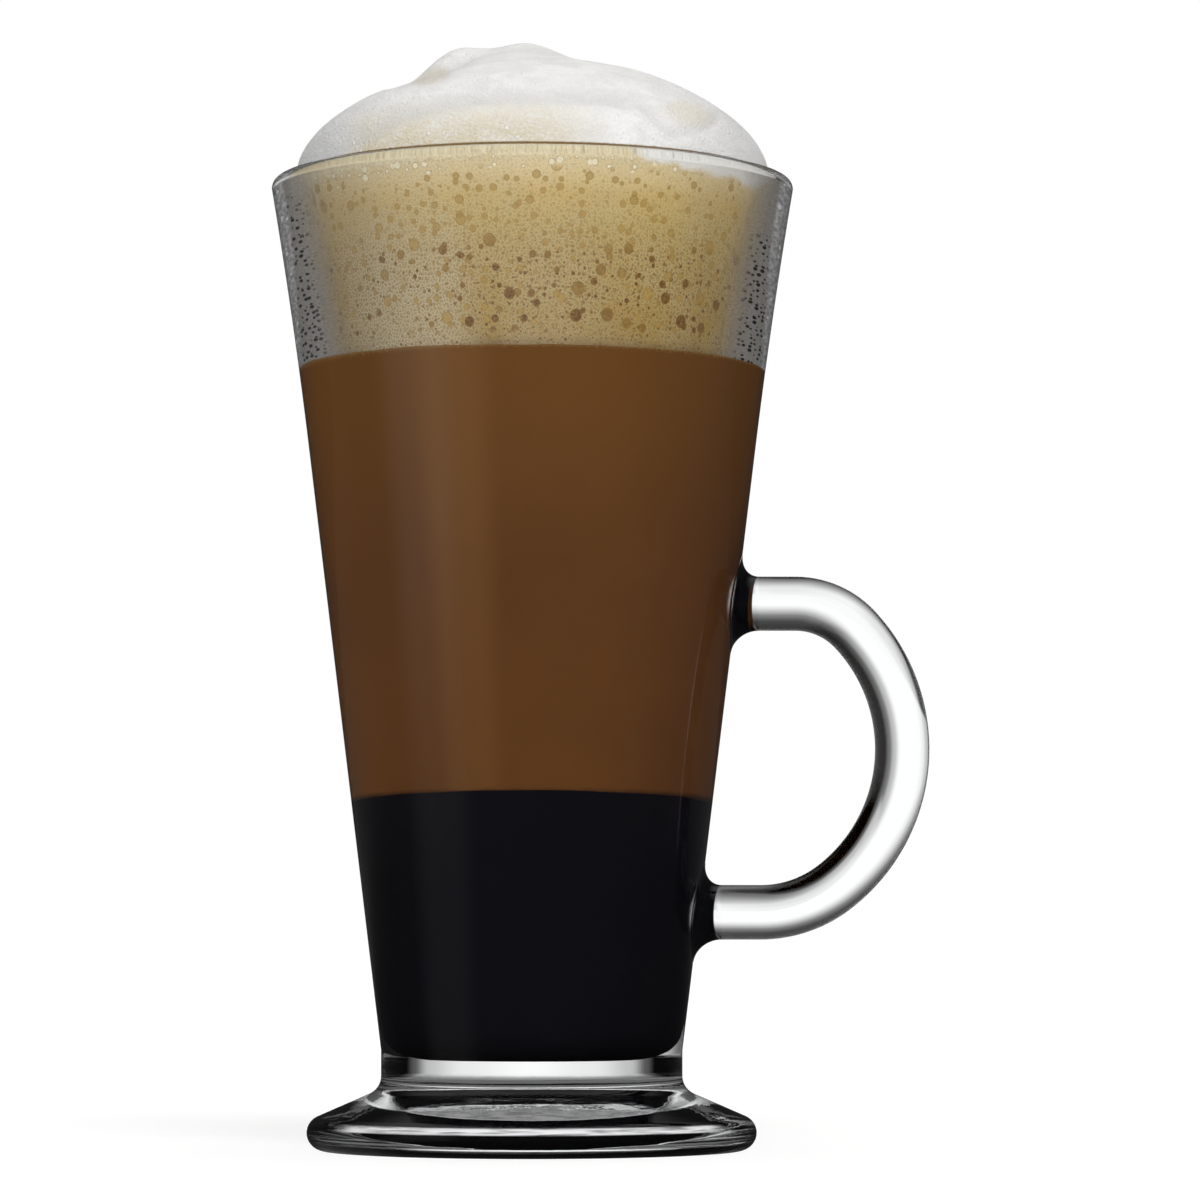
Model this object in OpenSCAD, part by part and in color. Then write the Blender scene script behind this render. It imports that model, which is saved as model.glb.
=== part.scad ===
// Footed glass mug for irish coffee, filled with a layered milk coffee under a crown of froth.
// Origin: on the mug's axis, in the plane that the foot rests on. +Z is up, the handle points to +X.
// Every height is measured up from the table.

/* [Bowl] */
// Height of the glass at the lip
glass_h = 150; // [140:1:165]
// Outer diameter of the glass at the lip
rim_d = 81; // [76:0.5:90]
// Outer diameter of the neck, just above the foot
waist_d = 46.4; // [43:0.2:50]
// Height of the straight neck between the foot and the tapered wall
neck_h = 3.9; // [2:0.1:7]
// Height of the flared part of the wall, under the lip's rounding
flare_h = 40.6; // [20:0.2:50]
// How far the lip stands out beyond the straight taper
rim_flare = 0.95; // [0.2:0.05:2]
// Thickness of the wall where the flare starts; it grows from there down to the cavity's floor
wall_t = 4; // [3:0.1:5]
// Thickness of the wall at the level of the cavity's floor
base_wall_t = 8.5; // [6:0.1:10]
// Thickness of the lip, which is rounded over
lip_t = 2.8; // [2:0.1:3.6]
// Thickness of the bowl's floor, from the foot to the drink
floor_t = 2.6; // [1.6:0.1:5]
// Radius of the corner between the floor and the wall of the cavity
floor_corner_r = 5.4; // [3:0.1:8]

/* [Foot] */
// Outer diameter of the foot
foot_d = 69.2; // [64:0.2:76]
// Radius of the foot's rounded edge
foot_edge_r = 2.7; // [1.8:0.1:3.2]
// Slope of the foot's top from the horizontal, in degrees
foot_slope_deg = 23.5; // [18:0.5:28]
// Radius of the fillet between the foot's top and the neck
foot_fillet_r = 3; // [1.5:0.1:5]
// Diameter of the domed hollow under the foot
hollow_d = 45; // [40:0.5:52]
// Depth of the hollow under the foot
hollow_h = 6; // [3:0.1:6.4]

/* [Handle] */
// Diameter of the handle's glass rod
rod_d = 8.4; // [7:0.1:10]
// Height of the rod's centre at its upper end
handle_top_z = 84.2; // [76:0.2:100]
// Height of the rod's centre at its lower end
handle_bottom_z = 36.5; // [30:0.1:44]
// Length of the rod's straight upper end, from the bowl to the first corner
handle_end_l = 9.1; // [6:0.1:16]
// Radius of the flare where the rod spreads onto the bowl
root_fillet_r = 3.4; // [1.5:0.1:4.5]

/* [Drink] */
// How far the top of the coffee foam lies below the lip
foam_drop = 3.6; // [2:0.2:10]
// Thickness of the layer of coffee foam
foam_h = 24.9; // [15:0.1:40]
// Thickness of the layer of milk coffee; the black coffee fills what is left under it
milk_coffee_h = 67.5; // [50:0.5:80]
// How high the crown of white froth stands above the lip
crown_h = 21.1; // [12:0.1:30]
// How far the froth stands in from the inside of the lip
froth_inset = 0.9; // [0.4:0.1:4]
// Clearance between one layer and the next, and between the drink and the glass
film = 0.05; // [0.02:0.01:0.2]

/* [Hidden] */
$fn = 96;

// Radii, and the lip's centre
rim_r = rim_d / 2;
waist_r = waist_d / 2;
foot_r = foot_d / 2;
hollow_r = hollow_d / 2;
rod_r = rod_d / 2;
lip_r = lip_t / 2;
lip_z = glass_h - lip_r;
flare_z = lip_z - flare_h;

// The foot's edge is an arc round this point, and its top slopes up from it to the neck's fillet
edge_x = foot_r - foot_edge_r;
edge_z = foot_edge_r;
fillet_x = waist_r + foot_fillet_r;
waist_z = edge_z + (foot_edge_r + foot_fillet_r - (fillet_x - edge_x) * sin(foot_slope_deg))
    / cos(foot_slope_deg);

// Heights of the neck's top and of the cavity's floor
neck_z = waist_z + neck_h;
floor_z = waist_z + floor_t;

// Tops of the drink's layers, from the lip down
foam_top_z = glass_h - foam_drop;
coffee_top_z = foam_top_z - foam_h;
espresso_top_z = coffee_top_z - milk_coffee_h;

// The straight taper of the wall outside and inside, as radius per height
taper = (rim_r - rim_flare - waist_r) / (lip_z - neck_z);
wall_growth = (base_wall_t - wall_t) / (flare_z - floor_z);
lean_deg = atan(taper + wall_growth);

// Steps along an arc, and along the flared part of the wall
arc_steps = 10;
flare_steps = 8;

// Share of the flare that is reached at a height, from 0 at its start to 1 at the lip
function flare_share(z) = pow(max(0, z - flare_z) / (lip_z - flare_z), 2);
function cone_r(z) = waist_r + taper * (z - neck_z);
function outer_r(z) = cone_r(z) + rim_flare * flare_share(z);
function inner_r(z) =
    outer_r(z) - wall_t - wall_growth * max(0, flare_z - z) + (wall_t - lip_t) * flare_share(z);

// Points of an arc in the plane of a section, from one angle to another
function arc(x, z, r, from, to) =
    [for (i = [0:arc_steps]) let (a = from + (to - from) * i / arc_steps) [x + r * cos(a), z + r * sin(a)]];

// Heights between two limits that the flared part of the wall passes through, both limits with them
function wall_heights(low, high) = concat(
    [low],
    [for (i = [0:flare_steps]) let (z = flare_z + (lip_z - flare_z) * i / flare_steps)
        if (z > low && z < high) z],
    [high]);
function outer_wall(low, high) = [for (z = wall_heights(low, high)) [outer_r(z), z]];
function inner_wall(low, high, gap) = [for (z = wall_heights(low, high)) [inner_r(z) - gap, z]];

// The cavity's rounded corner, from its floor to its wall, drawn in by a gap
corner_z = floor_z + floor_corner_r;
corner_x = inner_r(corner_z) - floor_corner_r / cos(lean_deg);
corner_top_z = corner_z - floor_corner_r * sin(lean_deg);
function cavity_corner(gap) = arc(corner_x, corner_z, floor_corner_r - gap, -90, -lean_deg);
function backwards(points) = [for (i = [len(points) - 1:-1:0]) points[i]];

// A row of points without the ones that it shares with the rows next to it
function middle(points) = [for (i = [1:len(points) - 2]) points[i]];
function but_last(points) = [for (i = [0:len(points) - 2]) points[i]];

module turned(section) {
    rotate_extrude() polygon(section);
}

// Tapered bowl with a rounded lip, a thick floor and a short straight neck
module bowl() {
    color([0.90, 0.93, 0.94, 0.4])
        turned(concat(
            [[0, waist_z], [waist_r, waist_z], [waist_r, neck_z]],
            outer_wall(flare_z, lip_z),
            middle(arc(rim_r - lip_r, lip_z, lip_r, 0, 180)),
            backwards(inner_wall(corner_top_z, lip_z, 0)),
            backwards(but_last(cavity_corner(0))),
            [[0, floor_z]]));
}

// Round foot: a sloping top, a rounded edge, a flat ring to rest on and a domed hollow inside it
module foot() {
    hollow_arc_r = (pow(hollow_r, 2) + pow(hollow_h, 2)) / (2 * hollow_h);
    hollow_deg = asin(hollow_r / hollow_arc_r);
    color([0.80, 0.84, 0.86, 0.5])
        turned(concat(
            arc(0, hollow_h - hollow_arc_r, hollow_arc_r, 90, 90 - hollow_deg),
            arc(edge_x, edge_z, foot_edge_r, -90, 90 - foot_slope_deg),
            arc(fillet_x, waist_z, foot_fillet_r, 270 - foot_slope_deg, 180),
            [[0, waist_z]]));
}

// Closed skin over a row of rings that have as many points each, from a start point to an end point
module skin(rings, start, end) {
    sides = len(rings[0]);
    last = len(rings) - 1;
    points = concat([for (ring = rings) each ring], [start, end]);
    faces = concat(
        [for (i = [0:last - 1]) for (j = [0:sides - 1])
            let (a = i * sides + j, b = i * sides + (j + 1) % sides)
                each [[a, b, b + sides], [a, b + sides, a + sides]]],
        [for (j = [0:sides - 1]) let (k = (j + 1) % sides)
            each [[len(points) - 2, k, j], [last * sides + j, last * sides + k, len(points) - 1]]]);
    polyhedron(points, faces);
}

// The handle's centreline: straight ends joined by a large curve between two tighter corners.
// The curves' radii and the height of the large curve's centre follow the handle's height.
grip_r_share = 0.566;
upper_corner_r_share = 0.264;
lower_corner_r_share = 0.39;
grip_z_share = 0.53;
handle_h = handle_top_z - handle_bottom_z;
grip_r = handle_h * grip_r_share;
upper_corner_r = handle_h * upper_corner_r_share;
lower_corner_r = handle_h * lower_corner_r_share;
grip_z = handle_bottom_z + handle_h * grip_z_share;

// Centres of the three arcs, which touch where one runs into the next, and the angles where they do
upper_z = handle_top_z - upper_corner_r;
lower_z = handle_bottom_z + lower_corner_r;
upper_x = outer_r(handle_top_z) + handle_end_l;
grip_x = upper_x - sqrt(pow(grip_r - upper_corner_r, 2) - pow(upper_z - grip_z, 2));
lower_x = grip_x + sqrt(pow(grip_r - lower_corner_r, 2) - pow(lower_z - grip_z, 2));
upper_deg = atan2(upper_z - grip_z, upper_x - grip_x);
lower_deg = atan2(lower_z - grip_z, lower_x - grip_x);

// Sides of the rod and steps along each of its arcs. A root's rings lie out along the rod by shares of
// its fillet, and the rings of its seat on the wall are drawn in by shares of its radius.
rod_sides = 32;
upper_steps = 7;
grip_steps = 16;
lower_steps = 7;
root_shares = [0, 0.06, 0.2, 0.42, 0.7, 1];
seat_shares = [0.2, 0.4, 0.6, 0.8];

function wall_x(y, z) = sqrt(pow(outer_r(z), 2) - pow(y, 2));
function root_r(share) = rod_r + root_fillet_r * (1 - sqrt(1 - pow(1 - share, 2)));

// Ring of the rod round a point of an arc, and the rings along a whole arc
function rod_ring(x, z, deg) =
    [for (j = [0:rod_sides - 1]) let (a = 360 * j / rod_sides)
        [x + rod_r * cos(a) * cos(deg), rod_r * sin(a), z + rod_r * cos(a) * sin(deg)]];
function bend_rings(x, z, r, from, to, steps) =
    [for (i = [1:steps]) let (deg = from + (to - from) * i / steps)
        rod_ring(x + r * cos(deg), z + r * sin(deg), deg)];

// Ring of a root: it lies on the wall at share 0 and square to the rod at share 1
function root_ring(z, deg, share, r) =
    [for (j = [0:rod_sides - 1])
        let (a = 360 * j / rod_sides, y = r * sin(a), up = z + r * cos(a) * sin(deg))
            [wall_x(y, up) * (1 - share) + (outer_r(z) + root_fillet_r) * share + film, y, up]];
function root_rings(z, deg) = concat(
    [for (s = seat_shares) root_ring(z, deg, 0, root_r(0) * s)],
    [for (s = root_shares) root_ring(z, deg, s, root_r(s))]);

// Ear-shaped handle: one round rod that flares out at both ends and seats on the bowl's wall
module handle() {
    color([0.92, 0.95, 0.96, 0.5])
        skin(
            concat(
                root_rings(handle_top_z, 90),
                [rod_ring(upper_x, handle_top_z, 90)],
                bend_rings(upper_x, upper_z, upper_corner_r, 90, upper_deg, upper_steps),
                bend_rings(grip_x, grip_z, grip_r, upper_deg, lower_deg, grip_steps),
                bend_rings(lower_x, lower_z, lower_corner_r, lower_deg, -90, lower_steps),
                backwards(root_rings(handle_bottom_z, -90))),
            [outer_r(handle_top_z) + film, 0, handle_top_z],
            [outer_r(handle_bottom_z) + film, 0, handle_bottom_z]);
}

// Black coffee, filling the rounded bottom of the cavity
module espresso() {
    color([0.06, 0.05, 0.06])
        turned(concat(
            [[0, floor_z + film]],
            but_last(cavity_corner(film)),
            inner_wall(corner_top_z, espresso_top_z - film, film),
            [[0, espresso_top_z - film]]));
}

// One layer of the drink between two heights, out to the wall
module layer(low, high) {
    turned(concat([[0, low]], inner_wall(low, high - film, film), [[0, high - film]]));
}

// Brown coffee mixed with milk
module milk_coffee() {
    color([0.39, 0.25, 0.13]) layer(espresso_top_z, coffee_top_z);
}

// Beige foam full of bubbles
module coffee_foam() {
    color([0.78, 0.69, 0.50]) layer(coffee_top_z, foam_top_z);
}

// The froth's crown: a dome with a steep side at the lip and soft folds on it
froth_r = inner_r(lip_z) - froth_inset;
dome_power = 1.39;
froth_spokes = 64;
froth_rings = 14;

// Each fold: its place across and along and its spread as shares of the froth's radius, with its
// height, third of the four, as a share of the crown's
fold_shares = [
    [-0.34, 0.00, 0.190, 0.11],
    [-0.41, 0.00, -0.100, 0.24],
    [-0.01, 0.00, 0.135, 0.16],
    [0.18, 0.00, -0.127, 0.20]];

// A fold dies away at the froth's edge, where the share of the radius comes to 1
fold_power = 6;
function sum_of(values, i = 0) = i == len(values) ? 0 : values[i] + sum_of(values, i + 1);
function fold_h(x, y, share) = (1 - pow(share, fold_power)) * crown_h * sum_of(
    [for (f = fold_shares)
        f[2] * exp(-(pow(x / froth_r - f[0], 2) + pow(y / froth_r - f[1], 2)) / (2 * pow(f[3], 2)))]);
function dome_z(x, y, share) =
    glass_h + crown_h * sqrt(1 - pow(share, dome_power)) + fold_h(x, y, share);

function froth_ring(r, z) =
    [for (j = [0:froth_spokes - 1]) let (a = -360 * j / froth_spokes) [r * cos(a), r * sin(a), z]];
function dome_ring(share) =
    [for (p = froth_ring(froth_r * share, 0)) [p[0], p[1], dome_z(p[0], p[1], share)]];

// White milk froth: it fills the glass above the foam and stands over the lip as a dome
module milk_froth() {
    color([0.95, 0.94, 0.92])
        skin(
            concat(
                [froth_ring(inner_r(foam_top_z) - film, foam_top_z)],
                [for (i = [0:froth_rings - 1]) dome_ring(cos(90 * i / froth_rings))]),
            [0, 0, foam_top_z],
            [0, 0, dome_z(0, 0, 0)]);
}

bowl();
foot();
handle();
espresso();
milk_coffee();
coffee_foam();
milk_froth();
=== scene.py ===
import math

import bmesh
import bpy
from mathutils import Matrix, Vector, noise


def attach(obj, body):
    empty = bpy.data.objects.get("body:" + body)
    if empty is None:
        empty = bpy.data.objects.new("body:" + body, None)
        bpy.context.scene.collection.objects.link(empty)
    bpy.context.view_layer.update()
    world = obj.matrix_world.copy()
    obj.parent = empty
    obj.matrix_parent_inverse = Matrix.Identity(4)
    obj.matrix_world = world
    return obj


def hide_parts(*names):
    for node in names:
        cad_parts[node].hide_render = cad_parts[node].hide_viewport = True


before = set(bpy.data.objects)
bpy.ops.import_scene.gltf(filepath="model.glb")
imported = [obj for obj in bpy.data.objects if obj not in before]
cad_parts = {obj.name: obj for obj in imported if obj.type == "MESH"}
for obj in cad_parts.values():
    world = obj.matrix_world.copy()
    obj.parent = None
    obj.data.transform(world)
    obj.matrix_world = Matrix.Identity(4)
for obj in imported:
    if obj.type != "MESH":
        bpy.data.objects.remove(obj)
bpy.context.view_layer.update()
mm = 0.001


class Signal:
    # one output socket; arithmetic on it adds Math nodes
    def __init__(self, graph, socket):
        self.graph = graph
        self.socket = socket

    def maths(self, operation, *values):
        node = self.graph.node("ShaderNodeMath", {"operation": operation}, dict(enumerate(values)))
        return Signal(self.graph, node.outputs[0])

    def __add__(self, other):
        return self.maths("ADD", self, other)

    def __sub__(self, other):
        return self.maths("SUBTRACT", self, other)

    def __rsub__(self, other):
        return self.maths("SUBTRACT", other, self)

    def __mul__(self, other):
        return self.maths("MULTIPLY", self, other)

    def __truediv__(self, other):
        return self.maths("DIVIDE", self, other)

    def __pow__(self, other):
        return self.maths("POWER", self, other)

    __radd__ = __add__
    __rmul__ = __mul__

    def larger(self, other):
        return self.maths("MAXIMUM", self, other)

    def root(self):
        return self.maths("SQRT", self)

    def absolute(self):
        return self.maths("ABSOLUTE", self)

    def below(self, other):  # 1 where it is less than other, otherwise 0
        return self.maths("LESS_THAN", self, other)

    def above(self, other):
        return self.maths("GREATER_THAN", self, other)

    def fade(self, start, end, low=0.0, high=1.0):  # smooth step from start to end
        node = self.graph.node(
            "ShaderNodeMapRange", {"interpolation_type": "SMOOTHSTEP"},
            {"Value": self, "From Min": start, "From Max": end, "To Min": low, "To Max": high})
        return Signal(self.graph, node.outputs["Result"])


class Graph:
    # builds one node tree; every node comes from node()
    def __init__(self, tree):
        self.tree = tree
        tree.nodes.clear()

    def node(self, kind, settings=None, sockets=None):
        made = self.tree.nodes.new(kind)
        for name, value in (settings or {}).items():
            if name == "stops":
                self.setStops(made.color_ramp, value)
            elif name == "smooth":
                made.color_ramp.interpolation = value
            else:
                setattr(made, name, value)
        for name, value in (sockets or {}).items():
            self.feed(made.inputs[name], value)
        return made

    def feed(self, socket, value):
        if isinstance(value, Signal):
            value = value.socket
        if isinstance(value, bpy.types.NodeSocket):
            self.tree.links.new(value, socket)
        else:
            socket.default_value = value

    def setStops(self, ramp, stops):
        while len(ramp.elements) < len(stops):
            ramp.elements.new(0.5)
        for element, (place, level) in zip(ramp.elements, stops):
            element.position = place
            element.color = level if isinstance(level, tuple) else (level, level, level, 1)

    def signal(self, kind, output, settings=None, sockets=None):
        return Signal(self, self.node(kind, settings, sockets).outputs[output])

    def axes(self, source="Object"):  # the x, y and z of a coordinate
        coords = self.node("ShaderNodeTexCoord").outputs[source]
        split = self.node("ShaderNodeSeparateXYZ", None, {"Vector": coords})
        return [Signal(self, split.outputs[i]) for i in range(3)]

    def place(self, scale=(1, 1, 1)):  # Object coordinates in millimetres, stretched by scale
        coords = self.node("ShaderNodeTexCoord").outputs["Object"]
        return self.node(
            "ShaderNodeVectorMath", {"operation": "MULTIPLY"},
            {0: coords, 1: [1000 * s for s in scale]}).outputs[0]

    def clouds(self, place, scale, detail=2.0, roughness=0.5, distortion=0.0):
        return self.signal(
            "ShaderNodeTexNoise", "Fac", None,
            {"Vector": place, "Scale": scale, "Detail": detail, "Roughness": roughness,
             "Distortion": distortion})

    def vector(self, x, y, z):
        return self.node("ShaderNodeCombineXYZ", None, {0: x, 1: y, 2: z}).outputs[0]

    def cells(self, place, scale, randomness=1.0, feature="F1", dimensions="3D"):
        return self.node(
            "ShaderNodeTexVoronoi", {"voronoi_dimensions": dimensions, "feature": feature},
            {"Vector": place, "Scale": scale, "Randomness": randomness})

    def discs(self, place, scale, share, small, large, soft=0.06):
        # scattered round spots on a flat coordinate: inside, ring and a random number for each spot
        cell = self.cells(place, scale, 0.9, dimensions="2D")
        split = self.node("ShaderNodeSeparateColor", None, {"Color": cell.outputs["Color"]})
        pick, size, other = (Signal(self, split.outputs[i]) for i in range(3))
        radius = (size * (large - small) + small) * pick.below(share)
        depth = radius - Signal(self, cell.outputs["Distance"])
        inside = depth.fade(0.0, soft)
        return inside, inside * depth.fade(soft, 2.5 * soft, 1.0, 0.0), other

    def ramp(self, factor, stops, smooth="EASE"):
        return self.node(
            "ShaderNodeValToRGB", {"stops": stops, "smooth": smooth}, {"Fac": factor}).outputs["Color"]

    def blend(self, factor, first, second, mode="MIX"):
        return self.node(
            "ShaderNodeMix", {"data_type": "RGBA", "blend_type": mode},
            {0: factor, 6: first, 7: second}).outputs[2]

    def bump(self, height, strength, distance):
        return self.node(
            "ShaderNodeBump", None,
            {"Height": height, "Strength": strength, "Distance": distance * mm}).outputs["Normal"]

    def mixShader(self, factor, first, second):
        return self.node("ShaderNodeMixShader", None, {0: factor, 1: first, 2: second}).outputs[0]

    def lightPath(self, output):
        return self.signal("ShaderNodeLightPath", output)

    def azimuth(self, x, y):  # 0 towards -Y, 0.25 towards -X, 0.5 towards +Y, 0.75 towards +X
        return x.maths("ARCTAN2", x, y) / (2 * math.pi) + 0.5

    def frontTurn(self, x, y):  # radians, 0 at the front of the glass, growing towards +X
        return x.maths("ARCTAN2", x, 0 - y)

    def grey(self, level):
        return self.node("ShaderNodeCombineColor", None, {0: level, 1: level, 2: level}).outputs[0]

    def emission(self, level):
        return self.node("ShaderNodeEmission", None, {"Color": level}).outputs[0]

    def finish(self, shader, kind="ShaderNodeOutputMaterial"):
        self.node(kind, None, {"Surface": shader})


def newMaterial(name):
    material = bpy.data.materials.new(name)
    material.use_nodes = True
    return material, Graph(material.node_tree)


def shader(graph, color, roughness, normal=None, **values):
    sockets = {"Base Color": color, "Roughness": roughness, **values}
    if normal is not None:
        sockets["Normal"] = normal
    return graph.node("ShaderNodeBsdfPrincipled", None, sockets).outputs[0]


def penStart(bm, r, z):
    return bm.verts.new((r * mm, 0, z * mm))


def penLine(bm, tip, r, z, steps=1):
    start = tip.co.copy()
    end = Vector((r * mm, 0, z * mm))
    for i in range(steps):
        tip = bmesh.ops.extrude_vert_indiv(bm, verts=[tip])["verts"][0]
        tip.co = start.lerp(end, (i + 1) / steps)
    return tip


def penCurve(bm, tip, radiusAt, low, high, steps):  # follows radiusAt(z) from one height to another
    for i in range(steps):
        z = low + (high - low) * (i + 1) / steps
        tip = penLine(bm, tip, radiusAt(z), z)
    return tip


def penArc(bm, tip, r, z, degrees, steps):  # turns the tip about a centre, anticlockwise when positive
    turned = bmesh.ops.spin(
        bm, geom=[tip], cent=(r * mm, 0, z * mm), axis=(0, -1, 0),
        angle=math.radians(degrees), steps=steps, use_duplicate=False)
    return next(item for item in turned["geom_last"] if isinstance(item, bmesh.types.BMVert))


def lathe(bm, sides):  # turns the drawn section into a closed solid
    bmesh.ops.spin(
        bm, geom=bm.verts[:] + bm.edges[:], cent=(0, 0, 0), axis=(0, 0, 1),
        angle=2 * math.pi, steps=sides, use_merge=True, use_duplicate=False)
    bmesh.ops.remove_doubles(bm, verts=bm.verts[:], dist=0.002 * mm)
    bmesh.ops.recalc_face_normals(bm, faces=bm.faces[:])


def newPiece(name, bm, materials, stands, sharp=None):
    mesh = bpy.data.meshes.new(name)
    bm.to_mesh(mesh)
    bm.free()
    for material in materials:
        mesh.materials.append(material)
    mesh.shade_smooth()
    if sharp:
        mesh.set_sharp_from_angle(angle=math.radians(sharp))
    piece = bpy.data.objects.new(name, mesh)
    bpy.context.scene.collection.objects.link(piece)
    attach(piece, "root")
    if stands:
        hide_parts(stands)
    return piece


def wave(x, y, z, seed=0.0):  # smooth noise from -1 to 1, coordinates in its own cells
    return noise.noise(Vector((x + seed, y - 2.3 * seed, z + 0.7 * seed)))


# the glass's own sizes, in millimetres, as in the CAD
glass = {
    "height": 150.0, "rimR": 40.5, "waistR": 23.2, "neckH": 3.9, "flareH": 40.6,
    "rimFlare": 0.95, "wall": 4.0, "lip": 2.8, "baseWall": 8.5, "floor": 2.6, "cornerR": 5.4,
    "footR": 34.6, "footEdgeR": 2.7, "footSlope": 23.5, "footFilletR": 3.0,
    "hollowR": 22.5, "hollowH": 6.0, "sides": 256}
lipR = glass["lip"] / 2
lipZ = glass["height"] - lipR
flareZ = lipZ - glass["flareH"]
edgeX = glass["footR"] - glass["footEdgeR"]
filletX = glass["waistR"] + glass["footFilletR"]
slope = math.radians(glass["footSlope"])
waistZ = glass["footEdgeR"] + (
    glass["footEdgeR"] + glass["footFilletR"] - (filletX - edgeX) * math.sin(slope)) / math.cos(slope)
neckZ = waistZ + glass["neckH"]
floorZ = waistZ + glass["floor"]
taper = (glass["rimR"] - glass["rimFlare"] - glass["waistR"]) / (lipZ - neckZ)
growth = (glass["baseWall"] - glass["wall"]) / (flareZ - floorZ)
lean = math.atan(taper + growth)

drink = {
    "espressoTop": 54.0, "coffeeTop": 121.5, "sides": 192,
    "soak": 0.08}  # how far the liquids' skin lies in the glass, so that no air shows between them


def coneR(z):
    return glass["waistR"] + taper * (z - neckZ)


def outerR(z):
    share = max(0.0, z - flareZ) / (lipZ - flareZ)
    return coneR(z) + glass["rimFlare"] * share ** 2


def innerR(z):
    share = max(0.0, z - flareZ) / (lipZ - flareZ)
    wall = glass["wall"] + growth * max(0.0, flareZ - z)
    return outerR(z) - wall + (glass["wall"] - glass["lip"]) * share ** 2


cornerZ = floorZ + glass["cornerR"]
cornerX = innerR(cornerZ) - glass["cornerR"] / math.cos(lean)
cornerTopZ = cornerZ - glass["cornerR"] * math.sin(lean)

handle = {
    "rodR": 4.2, "topZ": 84.2, "bottomZ": 36.5, "endL": 9.1, "filletR": 3.4, "film": 0.05,
    "gripShare": 0.566, "upperShare": 0.264, "lowerShare": 0.39, "gripZShare": 0.53,
    "sides": 64}


# glass materials
def glassShader(graph, look):
    # clear glass that bends light for the eye and lets lamps and soft light straight through
    place = graph.place()
    ripple = graph.clouds(place, look["rippleScale"], 1.5)
    if "rings" in look:  # the faint rings that pressing leaves in the foot
        x, y, z = graph.axes()
        out = (x ** 2 + y ** 2).root()
        ringPlace = graph.vector((out + z) / mm, x / out * 0.8, y / out * 0.8)
        ripple = ripple * 0.5 + graph.clouds(ringPlace, look["rings"], 2.0) * 0.5
        ripple = ripple * (x.absolute() / mm).fade(*look["calm"])
    fine = graph.clouds(place, look["rippleScale"] * 6, 2.0)
    normal = graph.bump(ripple + fine * 0.12, look["rippleStrength"], look["rippleDepth"])
    tint = graph.blend(graph.clouds(place, 0.05), look["tintA"], look["tintB"])
    body = shader(graph, tint, 0.0, normal, **{"Transmission Weight": 1.0, "IOR": 1.5})
    clear = graph.node("ShaderNodeBsdfTransparent").outputs[0]
    passing = graph.lightPath("Is Shadow Ray").larger(graph.lightPath("Is Diffuse Ray"))
    return body, clear, passing


glassLook = {
    "bowl": {"rippleScale": 0.06, "rippleStrength": 0.25, "rippleDepth": 0.25,
             "tintA": (0.985, 0.99, 0.99, 1), "tintB": (0.975, 0.985, 0.985, 1)},
    "foot": {"rippleScale": 0.12, "rippleStrength": 0.3, "rippleDepth": 0.35, "rings": 0.7,
             "calm": (14, 27, 1.0, 0.1),  # where across the foot its rings fade, and how far
             "paintedShine": (3.5, 4.6), "paintedShineR": 32.0,  # the painted highlight's heights and the radius it starts at
             "tintA": (0.98, 0.985, 0.985, 1), "tintB": (0.97, 0.98, 0.985, 1)},
    "handle": {"rippleScale": 0.08, "rippleStrength": 0.25, "rippleDepth": 0.2,
               "tintA": (0.99, 0.992, 0.995, 1), "tintB": (0.98, 0.985, 0.99, 1)},
    # the first colour below paints a highlight on the foot, the second paints shade where pieces are fused
    "paintedShine": (0.78, 0.78, 0.79, 1), "seamShade": (0.003, 0.003, 0.004, 1)}
filmReflectionAndShade = {  # on the inside of the wall, beside the foam: a grey film, partly wet film and partly painted reflection and shade
    "wrapR": 37, "stretch": (0.3, 1, 1),  # how the wall is laid flat for its patterns
    "streaks": 1.6, "beads": 0.75, "pores": 1.4, "specks": 3,  # scales of its patterns
    "poreTop": 145, "poreDrop": -6,  # the height where the pores end, and its change on the right
    "foamSide": (0.956, 0.971), "poresSide": (0.87, 0.918),  # where the foam's tone ends and the pores start
    # how the film and a thin veil of painted shade grow denser as the wall turns away
    "hideMirror": (0.2, 0.65), "hideSteep": (0.165, 0.25), "hideMost": 0.85,
    "veilSteep": (0.03, 0.17), "veilMost": 0.3, "roughness": 0.2,
    "pale": (0.6, 0.59, 0.59, 1), "dark": (0.3, 0.293, 0.295, 1), "warm": (0.25, 0.225, 0.19, 1),
    # glint paints glints on the beads, pore paints shade in the foam's pores, veil paints shade on the
    # foam's sides
    "glint": (0.85, 0.85, 0.85, 1), "pore": (0.006, 0.006, 0.008, 1), "veil": (0.13, 0.105, 0.07, 1),
    # painted shade: the film is painted darker on the right than on the left
    "filmLeftShade": (1, 1, 1, 1), "filmRightShade": (0.85, 0.85, 0.85, 1)}


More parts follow.
